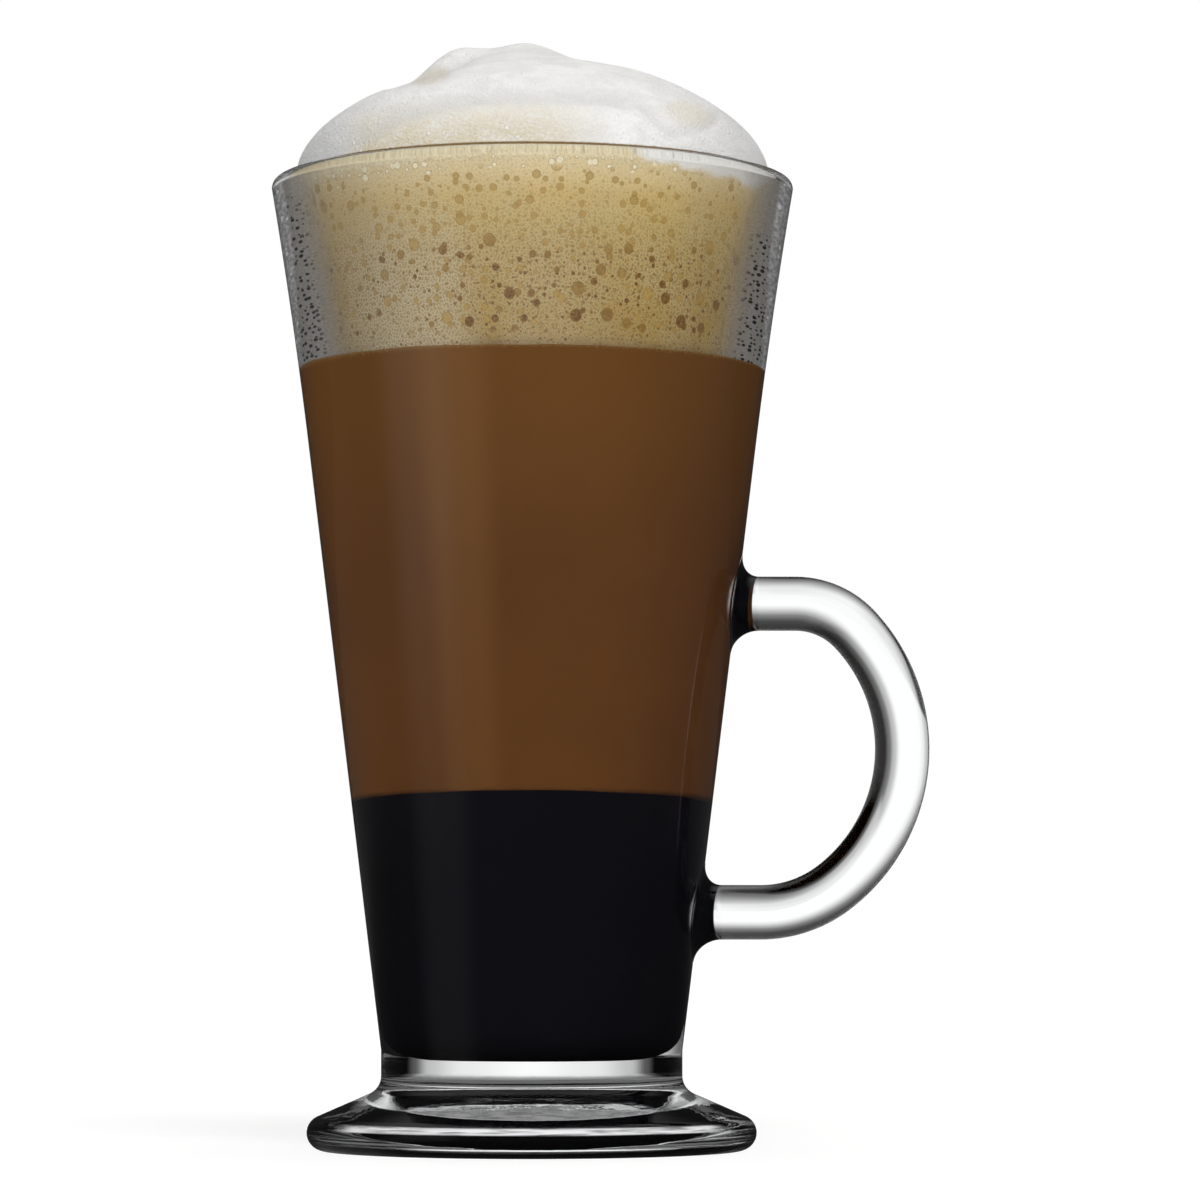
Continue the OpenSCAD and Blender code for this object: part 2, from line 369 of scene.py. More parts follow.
def makeGlass(name, look, roots=()):
    material, graph = newMaterial(name)
    body, clear, passing = glassShader(graph, look)
    x, y, z = graph.axes()
    if "paintedShine" in look:  # a painted highlight: a fine white line on the front of the foot's shoulder, in place of a lamp's reflection
        out = (x ** 2 + y ** 2).root() / mm
        level = z / mm
        low, high = look["paintedShine"]
        line = level.fade(low - 0.1, low + 0.2) * level.fade(high - 0.3, high + 0.1, 1.0, 0.0)
        line = line * (x.absolute() / mm / out).fade(0.77, 0.87, 1.0, 0.0) * y.below(0.0)
        line = line * out.above(look["paintedShineR"])
        around = graph.vector(x / mm / out * 4.8, y / mm / out * 4.8, level * 3)
        threads = graph.clouds(around, 1.2, 3).fade(0.3, 0.62, 0.3, 1.0)
        paintedShine = graph.node("ShaderNodeBsdfDiffuse", None, {"Color": glassLook["paintedShine"]}).outputs[0]
        body = graph.mixShader(line * threads, body, paintedShine)
    for rootZ in roots:  # no surface where the handle's root is fused to the wall
        reach = ((y ** 2 + (z - rootZ * mm) ** 2).root()) / mm
        inRoot = reach.below(handle["rodR"] + handle["filletR"])
        passing = passing.larger(inRoot * x.above(0.0))
    graph.finish(graph.mixShader(passing, body, clear))
    return material


def makeFoamedGlass(name, look):
    # the inside of the wall beside the foam: a wet film with beads hides what the wall mirrors from within;
    # its grey is painted reflection and shade standing in for that
    material, graph = newMaterial(name)
    body, clear, passing = glassShader(graph, look)
    x, y, z = graph.axes()
    film = filmReflectionAndShade
    sheet = graph.vector(graph.frontTurn(x, y) * film["wrapR"], z / mm, 0.0)
    wide = graph.node(
        "ShaderNodeVectorMath", {"operation": "MULTIPLY"}, {0: sheet, 1: film["stretch"]}).outputs[0]
    streaks = graph.clouds(wide, film["streaks"], 4, 0.65).fade(0.38, 0.66)
    tone = graph.blend(streaks, film["dark"], film["pale"])
    # pale beads: painted glints
    beads = graph.discs(wide, film["beads"], 0.4, 0.1, 0.3, 0.08)[0]
    tone = graph.blend(beads * 0.9, tone, film["glint"])
    facing = graph.signal("ShaderNodeLayerWeight", "Facing", None, {"Blend": 0.5})
    side = x.absolute().larger(y.absolute()) / (x ** 2 + y ** 2).root()  # 1 at the front, sides and back
    edge = side + (z / mm).fade(121, 143, -0.028, 0.0) + graph.clouds(wide, 0.9, 2) * 0.01 - 0.005
    nearFoam = edge.fade(*film["foamSide"], 1.0, 0.0)
    specks = graph.clouds(wide, film["specks"], 3, 0.7).fade(0.4, 0.62)
    warm = graph.blend(specks, film["warm"], film["dark"])
    # near-black pores by the foam: painted shade
    pores = graph.discs(wide, film["pores"], 0.8, 0.14, 0.42, 0.05)[0]
    poreTop = x.above(0.0) * film["poreDrop"] + film["poreTop"]
    porous = side.fade(*film["poresSide"]) * ((z / mm) - poreTop).fade(0, 2, 1.0, 0.0)
    tone = graph.blend(nearFoam, tone, graph.blend(pores * porous * 0.95, warm, film["pore"]))
    # painted shade, darker on the right
    filmSideShade = graph.blend(x.above(0.0), film["filmLeftShade"], film["filmRightShade"])
    tone = graph.blend(1.0, tone, filmSideShade, "MULTIPLY")
    coat = shader(graph, tone, film["roughness"], **{"Specular IOR Level": 0.4})
    # the veil is painted shade, darkening the foam's sides as the wall turns away
    veil = graph.node("ShaderNodeBsdfDiffuse", None, {"Color": film["veil"]}).outputs[0]
    bright = graph.signal("ShaderNodeFresnel", "Fac", None, {"IOR": 1.5})
    hides = bright.fade(*film["hideMirror"]).larger(facing.fade(*film["hideSteep"]) * film["hideMost"])
    shine = graph.mixShader(facing.fade(*film["veilSteep"]) * film["veilMost"], body, veil)
    shine = graph.mixShader(hides, shine, coat)
    graph.finish(graph.mixShader(passing, shine, clear))
    return material


def makeSeam(name, darkAt, clearAt):
    # the face where two fused pieces meet: clear, but a near-black sheet at some angles, painted shade in
    # place of the dark the glass shows there
    material, graph = newMaterial(name)
    clear = graph.node("ShaderNodeBsdfTransparent").outputs[0]
    dark = graph.node("ShaderNodeBsdfDiffuse", None, {"Color": glassLook["seamShade"]}).outputs[0]
    facing = graph.signal("ShaderNodeLayerWeight", "Facing", None, {"Blend": 0.5})
    graph.finish(graph.mixShader(facing.fade(darkAt, clearAt, 1.0, 0.0), clear, dark))
    return material


footSeam = makeSeam("footSeam", 0.7, 0.9)
rootSeam = makeSeam("rootSeam", 0.15, 0.03)
bowlGlass = makeGlass("bowlGlass", glassLook["bowl"], (handle["topZ"], handle["bottomZ"]))
foamedGlass = makeFoamedGlass("foamedGlass", glassLook["bowl"])
footGlass = makeGlass("footGlass", glassLook["foot"])
handleGlass = makeGlass("handleGlass", glassLook["handle"])
print("glass materials made")


foamedLow = drink["coffeeTop"] - 0.6  # the wet film on the wall's inner face starts here
bm = bmesh.new()
tip = penStart(bm, 0, waistZ)
tip = penLine(bm, tip, glass["waistR"], waistZ, 2)
tip = penLine(bm, tip, glass["waistR"], neckZ, 3)
tip = penCurve(bm, tip, outerR, neckZ, flareZ, 12)
tip = penCurve(bm, tip, outerR, flareZ, lipZ, 14)
tip = penArc(bm, tip, glass["rimR"] - lipR, lipZ, 180, 16)
tip = penCurve(bm, tip, innerR, lipZ, foamedLow, 12)
tip = penCurve(bm, tip, innerR, foamedLow, flareZ, 6)
tip = penCurve(bm, tip, innerR, flareZ, cornerTopZ, 10)
tip = penArc(bm, tip, cornerX, cornerZ, math.degrees(lean) - 90, 14)
penLine(bm, tip, 0, floorZ, 3)
lathe(bm, glass["sides"])
for face in bm.faces:
    middle = face.calc_center_median() / mm
    r = math.hypot(middle.x, middle.y)
    if middle.z < waistZ + 0.01:
        face.material_index = 1
    elif foamedLow < middle.z < lipZ and r < outerR(middle.z) - 1.2:
        face.material_index = 2
newPiece("glassBowl", bm, [bowlGlass, footSeam, foamedGlass], "bowl", 40)

hollowArcR = (glass["hollowR"] ** 2 + glass["hollowH"] ** 2) / (2 * glass["hollowH"])
hollowDeg = math.degrees(math.asin(glass["hollowR"] / hollowArcR))
bm = bmesh.new()
tip = penStart(bm, 0, glass["hollowH"])
tip = penArc(bm, tip, 0, glass["hollowH"] - hollowArcR, -hollowDeg, 24)
tip = penLine(bm, tip, edgeX, 0)
tip = penArc(bm, tip, edgeX, glass["footEdgeR"], 180 - glass["footSlope"], 20)
tip = penLine(
    bm, tip, filletX + glass["footFilletR"] * math.cos(math.radians(270 - glass["footSlope"])),
    waistZ + glass["footFilletR"] * math.sin(math.radians(270 - glass["footSlope"])), 3)
tip = penArc(bm, tip, filletX, waistZ, glass["footSlope"] - 90, 14)
penLine(bm, tip, 0, waistZ, 2)
lathe(bm, glass["sides"])
for face in bm.faces:
    middle = face.calc_center_median() / mm
    if middle.z > waistZ - 0.01 and math.hypot(middle.x, middle.y) < glass["waistR"]:
        face.material_index = 1
newPiece("glassFoot", bm, [footGlass, footSeam], "foot", 40)
print("bowl and foot made")


rise = handle["topZ"] - handle["bottomZ"]
gripR, upperR, lowerR = (rise * handle[key] for key in ("gripShare", "upperShare", "lowerShare"))
gripZ = handle["bottomZ"] + rise * handle["gripZShare"]
upperZ = handle["topZ"] - upperR
lowerZ = handle["bottomZ"] + lowerR
upperX = outerR(handle["topZ"]) + handle["endL"]
gripX = upperX - math.sqrt((gripR - upperR) ** 2 - (upperZ - gripZ) ** 2)
lowerX = gripX + math.sqrt((gripR - lowerR) ** 2 - (lowerZ - gripZ) ** 2)
upperDeg = math.degrees(math.atan2(upperZ - gripZ, upperX - gripX))
lowerDeg = math.degrees(math.atan2(lowerZ - gripZ, lowerX - gripX))


def rodRing(x, z, degrees):  # the rod's round section, square to its line
    a = math.radians(degrees)

    def at(turn):
        out = handle["rodR"] * math.cos(turn)
        return x + out * math.cos(a), handle["rodR"] * math.sin(turn), z + out * math.sin(a)
    return at


def rootRing(z, degrees, share, r):  # lies on the wall at share 0, square to the rod at share 1
    def at(turn):
        y = r * math.sin(turn)
        up = z + r * math.cos(turn) * math.sin(math.radians(degrees))
        wallX = math.sqrt(outerR(up) ** 2 - y ** 2)
        flatX = outerR(z) + handle["filletR"]
        return wallX * (1 - share) + flatX * share + handle["film"], y, up
    return at


def rootRings(z, degrees):
    widest = handle["rodR"] + handle["filletR"]
    rings = [rootRing(z, degrees, 0, widest * share) for share in (0.25, 0.5, 0.75)]
    for i in range(13):
        share = 1 - math.cos(math.pi / 2 * i / 12)
        r = handle["rodR"] + handle["filletR"] * (1 - math.sqrt(1 - (1 - share) ** 2))
        rings.append(rootRing(z, degrees, share, r))
    return rings


def bendRings(x, z, r, start, end, steps):
    rings = []
    for i in range(1, steps + 1):
        degrees = start + (end - start) * i / steps
        a = math.radians(degrees)
        rings.append(rodRing(x + r * math.cos(a), z + r * math.sin(a), degrees))
    return rings


handleRings = (
    rootRings(handle["topZ"], 90)
    + [rodRing(upperX - 3, handle["topZ"], 90), rodRing(upperX, handle["topZ"], 90)]
    + bendRings(upperX, upperZ, upperR, 90, upperDeg, 14)
    + bendRings(gripX, gripZ, gripR, upperDeg, lowerDeg, 48)
    + bendRings(lowerX, lowerZ, lowerR, lowerDeg, -90, 16)
    + [rodRing(lowerX - 3, handle["bottomZ"], -90)]
    + rootRings(handle["bottomZ"], -90)[::-1])

bm = bmesh.new()
ringVerts = bmesh.ops.create_circle(
    bm, cap_ends=True, cap_tris=True, segments=handle["sides"], radius=1 * mm)["verts"]
ringVerts = [v for v in ringVerts if v.co.length > 0.5 * mm]
capCentre = next(v for v in bm.verts if v.co.length < 0.5 * mm)
turns = [math.atan2(v.co.y, v.co.x) for v in ringVerts]


def setRing(verts, ring):
    for v, turn in zip(verts, turns):
        v.co = Vector(ring(turn)) * mm


setRing(ringVerts, handleRings[0])
capCentre.co = Vector((outerR(handle["topZ"]) + handle["film"], 0, handle["topZ"])) * mm
loop = ringVerts
for ring in handleRings[1:]:
    edges = [bm.edges.get((loop[i], loop[(i + 1) % len(loop)])) for i in range(len(loop))]
    made = bmesh.ops.extrude_edge_only(bm, edges=edges)["geom"]
    fresh = {v for v in made if isinstance(v, bmesh.types.BMVert)}
    loop = [next(e.other_vert(v) for e in v.link_edges if e.other_vert(v) in fresh) for v in loop]
    setRing(loop, ring)
edges = [bm.edges.get((loop[i], loop[(i + 1) % len(loop)])) for i in range(len(loop))]
end = bmesh.ops.extrude_edge_only(bm, edges=edges)["geom"]
endVerts = [v for v in end if isinstance(v, bmesh.types.BMVert)]
endPoint = Vector((outerR(handle["bottomZ"]) + handle["film"], 0, handle["bottomZ"])) * mm
bmesh.ops.pointmerge(bm, verts=endVerts, merge_co=endPoint)
bmesh.ops.recalc_face_normals(bm, faces=bm.faces[:])


def offWall(v):  # how far a point of the handle's mesh stands off the bowl's wall
    return abs(math.hypot(v.co.x / mm - handle["film"], v.co.y / mm) - outerR(v.co.z / mm))


for face in bm.faces:  # the ends that lie on the wall are fused to it
    if all(offWall(v) < 0.01 for v in face.verts):
        face.material_index = 1
newPiece("glassHandle", bm, [handleGlass, rootSeam], "handle", 50)
print("handle made")


# the two liquids
def liquidR(z):
    return innerR(z) + drink["soak"]


def frontShare(a):  # 1 at the front of the glass, 0 at its sides and back
    return max(0.0, -math.sin(a))


def ruffle(bm, height, lift, frontLift, rightLift, depth, seed):
    # moves the skin near one height up or down, with a gentle wave
    for v in bm.verts:
        if abs(v.co.z - height * mm) < 0.3 * mm:
            a = math.atan2(v.co.y, v.co.x)
            waves = wave(2.2 * math.cos(a), 2.2 * math.sin(a), 0, seed)
            waves += 0.4 * wave(9 * math.cos(a), 9 * math.sin(a), 1, seed)
            z = v.co.z / mm + lift + frontLift * frontShare(a) + rightLift * math.cos(a) + depth * waves
            grow = liquidR(z) / liquidR(v.co.z / mm)  # the skin follows the wall's slope
            v.co = Vector((v.co.x * grow, v.co.y * grow, z * mm))


liquids = {
    "espresso": (0.004, 0.0038, 0.006, 1), "espressoWarm": (0.0048, 0.004, 0.005, 1),
    "coffee": (0.113, 0.044, 0.0125, 1), "coffeeDeep": (0.098, 0.039, 0.0115, 1),
    # the second colour below is a painted highlight
    "coffeeTop": (0.128, 0.053, 0.0125, 1), "coffeeHighlight": (0.185, 0.085, 0.028, 1),
    # leftGlow is painted light left of the front, rightDim painted shade right of it
    "coffeeMix": (0.24, 0.145, 0.055, 1), "leftGlow": 0.28, "rightDim": 0.18,
    # how the edges lie, in mm: lift all round, at the front and to the right, wave; then the seed
    "espressoSkin": (0.25, 0.7, -0.05, 0.15, 3), "coffeeSkin": (-0.4, -0.1, -0.15, 0.2, 8)}

espressoMaterial, graph = newMaterial("blackCoffee")
place = graph.place()
tone = graph.blend(graph.clouds(place, 0.04).fade(0.4, 0.7), liquids["espresso"], liquids["espressoWarm"])
graph.finish(shader(graph, tone, 0.35, **{"Specular IOR Level": 0.0}))

coffeeMaterial, graph = newMaterial("milkCoffee")
place = graph.place()
x, y, z = graph.axes()
tone = graph.blend(graph.clouds(place, 0.03, 3).fade(0.3, 0.7), liquids["coffeeDeep"], liquids["coffee"])
tone = graph.blend((z / mm).fade(85, 121.5), tone, liquids["coffeeTop"])
frontTurn = graph.frontTurn(x, y)
# a painted highlight: paler coffee left of the front, where the light falls
highlightBand = frontTurn.fade(-0.62, -0.45) * frontTurn.fade(-0.3, -0.12, 1.0, 0.0)
tone = graph.blend(highlightBand * (z / mm).fade(50, 120, 0.25, 0.5), tone, liquids["coffeeHighlight"])
# painted light and shade: the coffee is painted lighter left of the front and darker right of it
lefts = frontTurn.fade(-2.7, -1.7) * frontTurn.fade(-1.3, -0.75, 1.0, 0.0)
rights = frontTurn.fade(0.3, 1.2) * frontTurn.fade(1.7, 2.7, 1.0, 0.0)
across = 1 + lefts * liquids["leftGlow"] - rights * liquids["rightDim"]
tone = graph.blend(1.0, tone, graph.vector(across, across, across * (rights * 0.15 + 1)), "MULTIPLY")
# its top mixes with the foam, and its bottom with the espresso
speckle = (z / mm + graph.clouds(place, 2.5, 3, 0.7) * 1.6 - 0.8).fade(120.4, 121.3)
tone = graph.blend(speckle * 0.7, tone, liquids["coffeeMix"])
edge = (z / mm + graph.clouds(place, 0.5, 3) * 0.5 - 0.25).fade(54.4, 55.5, 1.0, 0.0)
tone = graph.blend(edge * 0.8, tone, liquids["espresso"])
graph.finish(shader(graph, tone, 0.4, **{"Specular IOR Level": 0.0}))

bm = bmesh.new()
tip = penStart(bm, 0, floorZ - drink["soak"])
tip = penLine(bm, tip, cornerX, floorZ - drink["soak"], 2)
tip = penArc(bm, tip, cornerX, cornerZ, 90 - math.degrees(lean), 14)
tip = penCurve(bm, tip, liquidR, cornerTopZ, drink["espressoTop"], 6)
penLine(bm, tip, 0, drink["espressoTop"], 3)
lathe(bm, drink["sides"])
ruffle(bm, drink["espressoTop"], *liquids["espressoSkin"])
newPiece("espressoLayer", bm, [espressoMaterial], "espresso", 40)

bm = bmesh.new()
tip = penStart(bm, 0, drink["espressoTop"])
tip = penLine(bm, tip, liquidR(drink["espressoTop"]), drink["espressoTop"], 3)
tip = penCurve(bm, tip, liquidR, drink["espressoTop"], drink["coffeeTop"], 14)
penLine(bm, tip, 0, drink["coffeeTop"], 3)
lathe(bm, drink["sides"])
ruffle(bm, drink["espressoTop"], *liquids["espressoSkin"])
ruffle(bm, drink["coffeeTop"], *liquids["coffeeSkin"])
newPiece("milkCoffeeLayer", bm, [coffeeMaterial], "milk_coffee", 40)
print("liquids made")


foam = {
    "gap": 0.05, "sides": 288, "rows": 40, "top": 149.35, "bottom": 119.5,
    "byHeight": [  # colour up the foam, from 120 mm to 150 mm
        (0.04, (0.33, 0.22, 0.065, 1)), (0.17, (0.42, 0.285, 0.085, 1)), (0.33, (0.465, 0.33, 0.115, 1)),
        (0.47, (0.5, 0.36, 0.138, 1)), (0.62, (0.555, 0.41, 0.16, 1)), (0.77, (0.63, 0.455, 0.17, 1)),
        (0.89, (0.76, 0.6, 0.32, 1)), (1.0, (0.78, 0.66, 0.43, 1))],
    # the second colour below is a painted highlight
    "pale": (0.56, 0.475, 0.3, 1), "highlightStrip": (0.58, 0.5, 0.34, 1), "cell": (0.29, 0.195, 0.07, 1),
    "soaked": (0.17, 0.1, 0.035, 1), "tiny": (0.19, 0.115, 0.035, 1), "ochre": (0.43, 0.265, 0.055, 1),
    # the first colour below darkens bubbles: the coffee's colour, partly painted shade inside them
    "brown": (0.15, 0.06, 0.007, 1), "rim": (0.25, 0.14, 0.035, 1), "cream": (0.88, 0.79, 0.56, 1),
    "white": (0.86, 0.84, 0.8, 1), "wrapR": 37,  # the radius at which the foam's skin is laid flat
    "dipDepth": 4.8,  # how deep the white froth hangs into the foam, in mm
    "dipTurn": [  # and its share of that depth round the glass, 0.5 at the front
        (0.54, 0.0), (0.59, 0.42), (0.63, 0.62), (0.672, 0.74), (0.69, 0.5), (0.71, 0.05), (0.8, 0.0)]}


bm = bmesh.new()
tip = penStart(bm, 0, foam["bottom"])
tip = penLine(bm, tip, innerR(foam["bottom"]) - foam["gap"], foam["bottom"], 3)
tip = penCurve(bm, tip, lambda z: innerR(z) - foam["gap"], foam["bottom"], foam["top"], foam["rows"])
penLine(bm, tip, 0, foam["top"], 6)
lathe(bm, foam["sides"])
for v in bm.verts:  # the foam's skin isn't quite even
    z, r, a = v.co.z / mm, math.hypot(v.co.x, v.co.y) / mm, math.atan2(v.co.y, v.co.x)
    if r > 30:
        r -= 0.05 + 0.05 * wave(math.cos(a) * 9, math.sin(a) * 9, z * 0.4, 2)
        v.co = Vector((r * math.cos(a), r * math.sin(a), z)) * mm

foamMaterial, graph = newMaterial("coffeeFoam")
place = graph.place()
x, y, z = graph.axes()
height = z / mm
frontTurn = graph.frontTurn(x, y)
sheet = graph.vector(frontTurn * foam["wrapR"], height, 0.0)  # the foam's skin laid flat, in millimetres
patches = graph.clouds(place, 0.11, 3, 0.6)
tone = graph.ramp((height - 120) / 30, foam["byHeight"], "LINEAR")
soaked = (height + graph.clouds(place, 0.9, 4, 0.7) * 1.8 - 0.9).fade(120.9, 122.6, 1.0, 0.0)
tone = graph.blend(soaked * 0.75, tone, foam["soaked"])
tone = graph.blend(patches.fade(0.42, 0.66) * height.fade(140, 147, 0.25, 0.15), tone, foam["pale"])
highlightStrip = frontTurn.fade(-1.0, -0.7) * frontTurn.fade(-0.38, -0.15, 1.0, 0.0)  # painted highlight: paler foam left of the front, where the light falls
tone = graph.blend(highlightStrip * height.fade(125, 147, 0.65, 0.12), tone, foam["highlightStrip"])
mesh = Signal(graph, graph.cells(sheet, 1.75, 1.0, "DISTANCE_TO_EDGE", "2D").outputs["Distance"])
tone = graph.blend(mesh.fade(0.07, 0.22) * height.fade(130, 147, 0.6, 0.15), tone, foam["cell"])
tiny = graph.discs(sheet, 1.35, 1.1, 0.14, 0.3, 0.1)[0]
tone = graph.blend(tiny * height.fade(128, 147, 0.8, 0.15) * (1 - highlightStrip * 0.5), tone, foam["tiny"])
dots, _, dotPick = graph.discs(sheet, 0.95, 0.8, 0.13, 0.32, 0.08)
tone = graph.blend(dots * height.fade(144, 147, 0.4, 0.0), tone, foam["ochre"])
# painted shade inside the small bubbles, partly the coffee's own colour
shadedBubbles = dots * (dotPick ** 2.0 * 0.75 + 0.2) * height.fade(132, 140, 1.0, 0.1)
tone = graph.blend(shadedBubbles, tone, foam["brown"])
midSpots, midRing, midPick = graph.discs(sheet, 0.52, 0.6, 0.13, 0.34, 0.04)
mottle = graph.clouds(place, 2.6, 2, 0.6).fade(0.3, 0.6, 0.6, 1.0)
offMilk = height.fade(122.4, 123.6)
underRim = offMilk * height.fade(146.2, 147.6, 1.0, 0.0)
lowerHalf = offMilk * height.fade(133, 139, 1.0, 0.0)
tone = graph.blend(midSpots * underRim * 0.75, tone, foam["ochre"])
# painted shade inside the lower foam's middle bubbles
tone = graph.blend(midSpots * mottle * midPick.fade(0.4, 0.9) * lowerHalf, tone, foam["brown"])
tone = graph.blend(midRing * underRim * height.fade(132, 144, 0.5, 0.18), tone, foam["rim"])
bigSpots, bigRing, bigPick = graph.discs(sheet, 0.27, 0.5, 0.12, 0.3, 0.04)
tone = graph.blend(bigSpots * underRim * 0.7, tone, foam["ochre"])
# painted shade inside the lower foam's large bubbles
tone = graph.blend(bigSpots * mottle * bigPick.fade(0.2, 0.7) * lowerHalf, tone, foam["brown"])
tone = graph.blend(bigRing * underRim * 0.3, tone, foam["rim"])
creamSpots, creamRing, creamPick = graph.discs(sheet, 0.75, 0.9, 0.16, 0.5)  # pale bubbles under the rim
rimReach = height - frontTurn.fade(-0.8, -0.1, 0.0, 0.9)
nearRim = (rimReach + creamPick * 1.8).fade(147.1, 147.6) * height.fade(148.2, 148.6, 1.0, 0.0)
fringe = (rimReach + graph.clouds(place, 0.9, 4, 0.7) * 4 - 2).fade(147.2, 148.2)
fringe = fringe * graph.clouds(place, 3, 3, 0.7).fade(0.4, 0.6, 0.3, 1.0)
tone = graph.blend(fringe * 0.8, tone, foam["cream"])
tone = graph.blend(creamSpots * nearRim * 0.9, tone, foam["cream"])
tone = graph.blend(creamRing * nearRim * 0.7, tone, foam["rim"])
dip = Signal(graph, graph.ramp(frontTurn / (2 * math.pi) + 0.5, foam["dipTurn"])) * foam["dipDepth"]
frothAbove = (height + dip + graph.clouds(place, 0.35, 4) * 2.0 - 1.0).fade(149.5, 150.9)
tone = graph.blend(frothAbove, tone, foam["white"])
relief = mesh.fade(0.0, 0.25) * 0.3 + dots * 0.35 + midSpots * 0.5 + bigSpots * 0.6
normal = graph.bump(relief, 0.55, -0.2)
# painted light: the foam is painted up to a tenth brighter to the right of the front
rightLift = graph.vector(*[frontTurn.fade(0.2, 0.9, 1.0, 1.1)] * 3)
tone = graph.blend(1.0, tone, rightLift, "MULTIPLY")
graph.finish(shader(graph, tone, 0.55, normal, **{"Specular IOR Level": 0.25}))
newPiece("foamLayer", bm, [foamMaterial], "coffee_foam", 60)
print("foam made")


froth = {
    "crown": 21.1, "inset": 0.9, "power": 1.39, "spokes": 320, "rings": 110, "skirt": 149.0,
    "folds": [  # swellings and hollows: place across and to the back, height and spread, as shares
        (-0.34, 0.0, 0.19, 0.11), (-0.41, 0.0, -0.1, 0.24), (-0.01, 0.0, 0.135, 0.16),
        (0.18, 0.0, -0.127, 0.2)],
    "creases": [  # soft furrows on the front: points across and up as seen from the front, depth and width
        ([(-31, 155), (-24, 158), (-20.5, 160.5), (-14, 162.6), (-7, 163.8), (1, 164), (9, 163.7),
          (15, 163)], 0.9, 1.5),
        ([(17, 162.5), (19.5, 159.5), (21.5, 158), (25, 158.4), (28, 160)], 0.7, 1.0),
        ([(-21.5, 165.6), (-17, 166.4), (-13.5, 167.3), (-10, 169.6)], 0.6, 1.1),
        ([(-12, 157.6), (-4, 158.6), (5, 158.4), (12, 156.8)], 0.3, 1.4)],
    "white": (0.965, 0.958, 0.945, 1), "shade": (0.89, 0.875, 0.85, 1), "beige": (0.74, 0.65, 0.46, 1),
    # the first colour below is painted shade on the froth's sides and in its creases
    "furrow": (0.62, 0.62, 0.63, 1), "pit": (0.5, 0.49, 0.47, 1),
    # the last two colours below paint the dark line where the froth meets the lip
    "bead": (0.97, 0.965, 0.95, 1), "lineGold": (0.2, 0.115, 0.022, 1), "lineDark": (0.03, 0.03, 0.04, 1)}
frothR = innerR(lipZ) - froth["inset"]


def creaseAt(x, y, z):  # depth of the furrows at a point on the froth's front
    seenZ = z - 0.16 * y
    depth = 0.0
    for points, deep, width in froth["creases"]:
        nearest = 9.0
        for (x0, z0), (x1, z1) in zip(points, points[1:]):
            span = (x1 - x0) ** 2 + (z1 - z0) ** 2
            share = max(0.0, min(1.0, ((x - x0) * (x1 - x0) + (seenZ - z0) * (z1 - z0)) / span))
            nearest = min(nearest, math.hypot(x - x0 - share * (x1 - x0), seenZ - z0 - share * (z1 - z0)))
        depth += deep * math.exp(-(nearest / width) ** 2)
    return depth * min(1.0, max(0.0, -y / 6))


def domeZ(share):  # the plain dome, by the share of its radius
    return glass["height"] + froth["crown"] * math.sqrt(max(0.0, 1 - share ** froth["power"]))


def frothZ(x, y, share):
    z = domeZ(share)
    folds = sum(h * math.exp(-((x / frothR - fx) ** 2 + (y / frothR - fy) ** 2) / (2 * spread ** 2))
                for fx, fy, h, spread in froth["folds"])
    z += (1 - share ** 6) * froth["crown"] * folds
    soft = 0.35 * wave(x * 0.08, y * 0.08, 0, 4) + 0.12 * wave(x * 0.3, y * 0.3, 0, 6) - 0.2
    return z + (1 - share ** 8) * soft


bm = bmesh.new()
tip = penStart(bm, 0, glass["height"] + froth["crown"])
for i in range(1, froth["rings"] + 1):
    share = math.sin(math.pi / 2 * i / froth["rings"])
    tip = penLine(bm, tip, frothR * share, domeZ(share))
tip = penLine(bm, tip, innerR(froth["skirt"]) - 0.2, froth["skirt"], 6)
penLine(bm, tip, 0, froth["skirt"], 4)
lathe(bm, froth["spokes"])
# the creases' depth, kept for painting shade in them
furrow = bm.verts.layers.float.new("furrow")
for v in bm.verts:
    x, y, z = v.co / mm
    if z > glass["height"] - 0.01:
        z = frothZ(x, y, min(1.0, math.hypot(x, y) / frothR))
        depth = creaseAt(x, y, z)
        v[furrow] = min(1.0, depth)
        v.co.z = max(glass["height"], z - depth) * mm
top = max(v.co.z for v in bm.verts)
print("froth top, mm:", round(top / mm, 2))

frothMaterial, graph = newMaterial("milkFroth")
place = graph.place()
x, y, z = graph.axes()
height = z / mm
streaks = graph.clouds(graph.place((0.6, 0.6, 1.2)), 0.3, 5, 0.6, 0.6)
grain = graph.clouds(place, 2.0, 4, 0.7)
tone = graph.blend(streaks.fade(0.35, 0.65), froth["shade"], froth["white"])
# painted shade: the froth is painted greyer towards its left and right sides, more on the left
paintedSideShade = (x / mm + 2).absolute().fade(20, 37)
tone = graph.blend(paintedSideShade * 0.4, tone, froth["furrow"])
leftShade = (x / mm).fade(-34, -12, 1.0, 0.0) * height.fade(150, 166, 1.0, 0.5)
tone = graph.blend(leftShade * 0.4, tone, froth["furrow"])
lowBeige = height.fade(151, 160.5, 1.0, 0.0) * (x / mm).fade(-30, -24) * (x / mm).fade(0, 14, 1.0, 0.0)
highBeige = ((x / mm + 15.5) ** 2.0 + (height - 164.5) ** 2.0).fade(2, 16, 1.0, 0.0)
rightBeige = ((x / mm - 24) ** 2.0 * 0.4 + (height - 157) ** 2.0).fade(1, 10, 1.0, 0.0)
stain = lowBeige.larger(highBeige * 0.8).larger(rightBeige * 0.5)
stain = stain * (y / mm).fade(-8, 0, 1.0, 0.0) * (grain * 0.7 + streaks * 0.5).fade(0.35, 0.7)
tone = graph.blend(stain, tone, froth["beige"])
